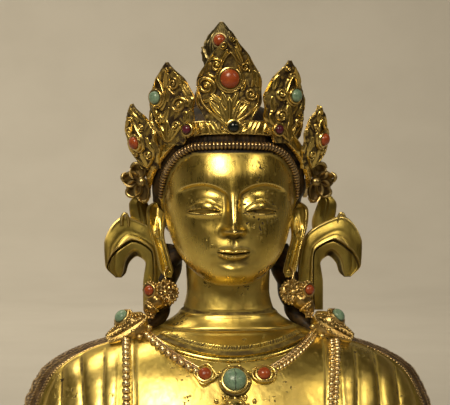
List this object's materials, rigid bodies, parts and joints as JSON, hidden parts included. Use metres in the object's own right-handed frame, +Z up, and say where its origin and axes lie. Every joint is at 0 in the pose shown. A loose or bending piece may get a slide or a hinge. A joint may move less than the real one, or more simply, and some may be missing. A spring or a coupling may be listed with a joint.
{
  "type": "gilt buddhist statue bust",
  "caption": "Gilt cast bust of a crowned, jewelled Amitayus, head to chest, cut flat below, with leaf crown, ribbons, earrings, bead strings and inlaid stones.",
  "frame": {"origin": "centre of the bust's bounding box in X and Y, on the flat cut below the chest at Z = 0", "axes": "+Z up, the face looks along -Y, +X to the right of someone facing the statue"},
  "size_m": [0.1826, 0.0862, 0.193],
  "materials": {
    "gilt": "worn fire gilding over bronze, satin to bright",
    "dark_gilt": "dark worn gilding",
    "coral": "polished coral cabochon",
    "turquoise": "polished turquoise cabochon",
    "garnet": "polished dark red stone",
    "onyx": "polished near-black stone"
  },
  "bodies": {
    "root": {"figure": "gilt", "crown": "gilt", "finial": "dark_gilt", "ribbon_left": "gilt", "ribbon_right": "gilt", "earring_left": "gilt", "earring_right": "gilt", "coral_finial": "coral", "coral_leaf_front": "coral", "coral_leaf_far_left": "coral", "coral_leaf_far_right": "coral", "coral_earring_left": "coral", "coral_earring_right": "coral", "coral_necklace_left": "coral", "coral_necklace_right": "coral", "turquoise_leaf_left": "turquoise", "turquoise_leaf_right": "turquoise", "turquoise_clasp_left": "turquoise", "turquoise_clasp_right": "turquoise", "turquoise_necklace": "turquoise", "garnet_band_left": "garnet", "garnet_band_right": "garnet", "onyx_band_middle": "onyx"}
  },
  "joints": []
}
